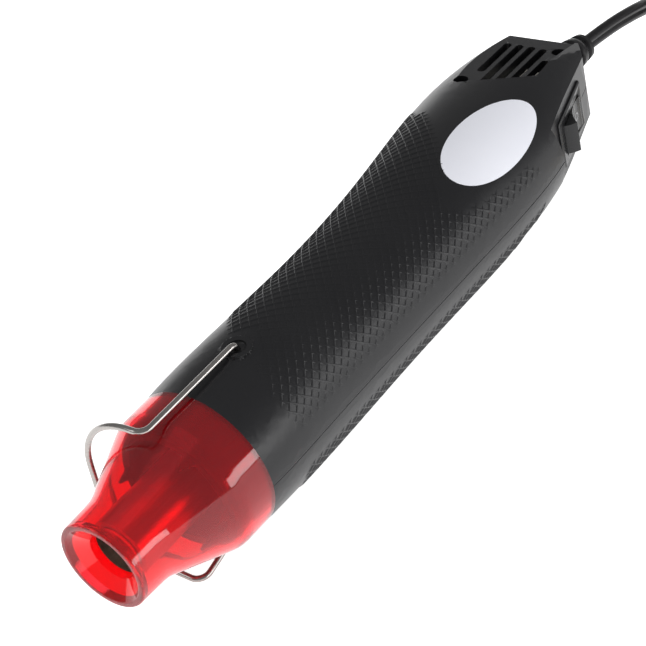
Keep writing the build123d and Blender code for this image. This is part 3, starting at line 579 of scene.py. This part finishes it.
def twin_section(width, thickness, steps=9):
    """Two round cores side by side, one above the other, with a groove down each face."""
    radius = thickness / 2
    reach = width / 2 - radius
    below = asin(reach / radius)
    points = []
    for middle, first in ((reach, -below), (-reach, pi - below)):
        for step in range(steps):
            angle = first + (pi + 2 * below) * step / steps
            points.append((radius * cos(angle), middle + radius * sin(angle)))
    return points


def add_cord(material):
    """The flat twin cord from the strain relief through its coil to the plug."""
    steps = round(coil_turns * coil_points_per_turn)
    turns = [coil_place(coil_turns * step / steps) for step in range(steps + 1)]
    route = [Vector(p) * mm for p in cord_route] + turns + [Vector(p) * mm for p in lead_route]
    line = smooth_line(route, 6)
    piece = tube_along("flat_cord", line, twin_section(cord_width, cord_thickness))
    shade(piece, 50)
    dress(piece, material, "housing", ("cord", "cord_coil", "cord_lead"))


# Guard
def add_guard(material):
    """The guard: rolled rim, dish with the outlet, barrel, flare and collar, in one wall."""
    slant = dish_depth / (lip_radius - outlet_radius)
    inner_x = dish_shift + slant * (lip_radius - rim_radius + guard_wall)
    outer = [(0, rim_radius), (barrel_end, barrel_radius)]
    outer += [(shoulder_x, collar_radius), (nozzle_end, collar_radius)]
    inner = [(inner_x, rim_radius - guard_wall)] + [(x, r - guard_wall) for x, r in outer[1:]]
    bends = (flare_bend, shoulder_bend)
    front = [(dish_depth, outlet_radius), (0, lip_radius)] + outer
    front = rounded_line([(*p, 0) for p in front], (rim_round, rim_round, *bends), 8)
    back = rounded_line([(*p, 0) for p in inner], bends, 8)[::-1]
    line = [(p.x, p.y) for p in front + back] + [(dish_depth + dish_shift, outlet_radius)]
    piece = turned("guard", line)
    shade(piece, 40)
    dress(piece, material, "housing", ("nozzle_guard",))


# Bail
def add_bail(material):
    """The bent wire of the bail."""
    points = (
        (pivot_x, 0, bail_end_z), (pivot_x, 0, bail_leg_z), (bail_front_x, 0, bail_leg_z),
        (bail_front_x, bail_drop, bail_leg_z), (bail_front_x, bail_drop, bail_right_z),
        (bail_front_x, -bail_right_rise, bail_right_z), (pivot_x, 0, -bail_leg_z), (pivot_x, 0, -bail_end_z),
    )
    line = rounded_line(points, bail_bends, 16)
    piece = tube_along("bail_wire", line, round_section(wire_radius, 24), upright=False)
    shade(piece, 40)
    dress(piece, material, "bail", ("bail_stand",))


# Grip
def add_knurl(name, node, side, rear, material):
    """Crossed ribs on a shell's grip: a turned grid whose cells are sunk, laid on the shell."""
    piece = new_primitive(
        bpy.ops.mesh.primitive_grid_add, name, x_subdivisions=knurl_cells, y_subdivisions=knurl_cells,
        size=knurl_cells * knurl_pitch, location=(knurl_middle_x, 0, 0), rotation=(0, 0, pi / 4),
    )
    edge = radians(knurl_seam_angle) * grip_radius
    edit(piece)
    for limit in (edge, -edge):
        bpy.ops.mesh.select_all(action="SELECT")
        bpy.ops.mesh.bisect(plane_co=(0, limit, 0), plane_no=(0, limit, 0), clear_outer=True)
    mesh = bmesh.from_edit_mesh(piece.data)
    outside = []
    for face in mesh.faces:
        middle = face.calc_center_median()
        angle = middle.y / grip_radius * 180 / pi
        on_grip = at_angle(knurl_front, angle) < middle.x < at_angle(rear, angle)
        near_pivot = (middle - Vector((pivot_x / mm, 0, 0))).length < boss_clear
        if not on_grip or near_pivot or face.calc_area() < knurl_least_face:
            outside.append(face)
    bmesh.ops.delete(mesh, geom=outside, context="FACES")
    border = {(round(v.co.x, 3), round(v.co.y, 3)) for v in mesh.verts if v.is_boundary}
    bmesh.update_edit_mesh(piece.data)
    bpy.ops.mesh.select_all(action="SELECT")
    bpy.ops.mesh.inset(thickness=knurl_rib, depth=-knurl_height - knurl_root, use_individual=True)
    bpy.ops.mesh.delete(type="FACE")
    leave_edit()
    surface = surface_of(node)
    for vertex in piece.data.vertices:
        x, around, height = vertex.co
        at_border = (round(x, 3), round(around, 3)) in border
        lift = -knurl_root if at_border else height + knurl_height
        vertex.co = on_shell(surface, side, x * mm, around / grip_radius, lift * mm)
    edit(piece)
    bpy.ops.mesh.normals_make_consistent(inside=False)
    bpy.ops.mesh.faces_shade_smooth()
    leave_edit()
    dress(piece, material, "housing")


# Sticker
def add_label(material):
    """The bare oval sticker on the left shell."""
    piece = new_primitive(bpy.ops.mesh.primitive_circle_add, "oval_label", vertices=96, radius=1.0)
    edit(piece)
    for ring in range(label_rings, 1, -1):
        bpy.ops.mesh.extrude_region_move()
        share = (ring - 1) / ring
        bpy.ops.transform.resize(value=(share, share, 1), center_override=(0, 0, 0))
    bpy.ops.mesh.edge_face_add()
    leave_edit()
    surface = surface_of("left_shell")
    for vertex in piece.data.vertices:
        x = label_x + vertex.co.x * label_long
        around = label_round + vertex.co.y * label_wide
        vertex.co = on_shell(surface, 1, x * mm, around / grip_radius, label_lift)
    thick = piece.modifiers.new("sheet", "SOLIDIFY")
    thick.thickness = label_sheet
    thick.offset = 1.0
    edit(piece)
    bpy.ops.mesh.normals_make_consistent(inside=False)
    leave_edit()
    if piece.data.polygons[0].normal.z < 0:
        piece.data.flip_normals()
    apply_modifiers(piece)
    shade(piece, 40)
    dress(piece, material, "housing")


# Rocker marks
def add_marks(material):
    """A bar and a ring on the rocker, as printed on and off marks."""
    surface = surface_of("rocker")
    slope = radians(switch_slope)
    along = Vector((cos(slope), sin(slope), 0))
    out = Vector((sin(slope), -cos(slope), 0))
    bar = new_primitive(
        bpy.ops.mesh.primitive_grid_add, "on_mark", x_subdivisions=8, y_subdivisions=2, size=2.0,
    )
    bar.data.transform(Matrix.Diagonal((*mark_bar, 1, 1)))
    ring = new_primitive(
        bpy.ops.mesh.primitive_circle_add, "off_mark", vertices=40, radius=mark_ring_radius,
    )
    edit(ring)
    bpy.ops.mesh.extrude_region_move()
    bpy.ops.transform.resize(value=(mark_ring_share, mark_ring_share, 1), center_override=(0, 0, 0))
    leave_edit()
    for piece, place in ((bar, mark_bar_place), (ring, mark_ring_place)):
        for vertex in piece.data.vertices:
            across = Vector((0, 0, vertex.co.y * mm))
            start = switch_middle + along * (place + vertex.co.x) * mm + across + out * mark_start
            vertex.co = surface.ray_cast(start, -out)[0] + out * mark_lift
        clean(piece)
        thick = piece.modifiers.new("ink", "SOLIDIFY")
        thick.thickness = mark_ink
        thick.offset = 0.0
        apply_modifiers(piece)
        dress(piece, material, "rocker")


# Making
add_camera()
cord_rubber = moulded("cord rubber", (0.011, 0.011, 0.012), (0.016, 0.015, 0.016), 0.38, shine=0.22)
switch_plastic = moulded(
    "switch plastic", (0.012, 0.012, 0.013), (0.016, 0.016, 0.017), 0.28, 1500.0, 0.006, 0.35,
)
plug_body = skin("plug_body", cord_rubber)
brass = drawn_metal("brass", (0.72, 0.55, 0.27), (0.8, 0.63, 0.33), 0.3)
plug_blades = skin("plug_blades", brass)
add_cord(cord_rubber)
add_surroundings()
floor_middle = (0.2, 0.0, floor_z - floor_gap)
floor = new_primitive(bpy.ops.mesh.primitive_plane_add, "floor", size=floor_size, location=floor_middle)
floor.data.materials.append(stage_white())

housing = housing_plastic()
for shell in ("left_shell", "right_shell"):
    skin(shell, housing, 12, lower_brow)
skin("strain_relief", cord_rubber)
add_guard(guard_plastic())
add_bail(drawn_metal("polished wire", (0.34, 0.32, 0.31), (0.42, 0.40, 0.38), 0.2))
add_knurl("left_grip", "left_shell", 1, knurl_rear, housing)
add_knurl("right_grip", "right_shell", -1, knurl_rear_plain, housing)
add_label(moulded("sticker paper", (0.88, 0.89, 0.96), (0.90, 0.91, 0.98), 0.35, 4000.0, 0.004))
skin("switch_body", switch_plastic)
skin("rocker", switch_plastic)
add_marks(moulded("grey ink", (0.30, 0.30, 0.31), (0.36, 0.36, 0.37), 0.5))

phenolic = moulded("black phenolic", (0.02, 0.017, 0.016), (0.028, 0.024, 0.023), 0.6)
tube_steel = drawn_metal("drawn steel", (0.55, 0.53, 0.50), (0.66, 0.64, 0.61), 0.35)
zinc = drawn_metal("zinc plate", (0.55, 0.55, 0.56), (0.66, 0.66, 0.67), 0.32)
inner_plastic = moulded("inner plastic", (0.70, 0.67, 0.60), (0.77, 0.74, 0.67), 0.5)
FINISHES = {
    "tab_ring": phenolic, "heater_plate": phenolic, "motor_end_cap": phenolic,
    "heater_tube": tube_steel, "motor_can": zinc, "motor_shaft": tube_steel, "armature": zinc,
    "case_screws": drawn_metal("black screws", (0.05, 0.05, 0.05), (0.08, 0.08, 0.08), 0.45),
    "clamp_screws": zinc,
    "mica_sleeve": moulded("mica sheet", (0.22, 0.19, 0.13), (0.30, 0.26, 0.18), 0.4, 900.0, 0.02),
    "heating_element": drawn_metal("resistance wire", (0.36, 0.34, 0.32), (0.46, 0.44, 0.42), 0.45),
    "fan_duct": inner_plastic, "fan": inner_plastic, "cord_clamp": inner_plastic,
    "motor_magnets": moulded("ferrite", (0.10, 0.10, 0.11), (0.14, 0.14, 0.15), 0.7, 1200.0, 0.03),
    "motor_tags": brass, "switch_tags": brass, "thermal_fuse": zinc,
    "rectifier_board": moulded("board laminate", (0.50, 0.37, 0.18), (0.60, 0.47, 0.25), 0.5),
    "diodes": moulded("diode epoxy", (0.025, 0.025, 0.025), (0.035, 0.035, 0.035), 0.4),
    "cord_core": cord_rubber,
}
FINISHES["mica_cross"] = FINISHES["mica_sleeve"]
for node, finish in FINISHES.items():
    frame["nodes"][node].data.materials.clear()
    frame["nodes"][node].data.materials.append(finish)
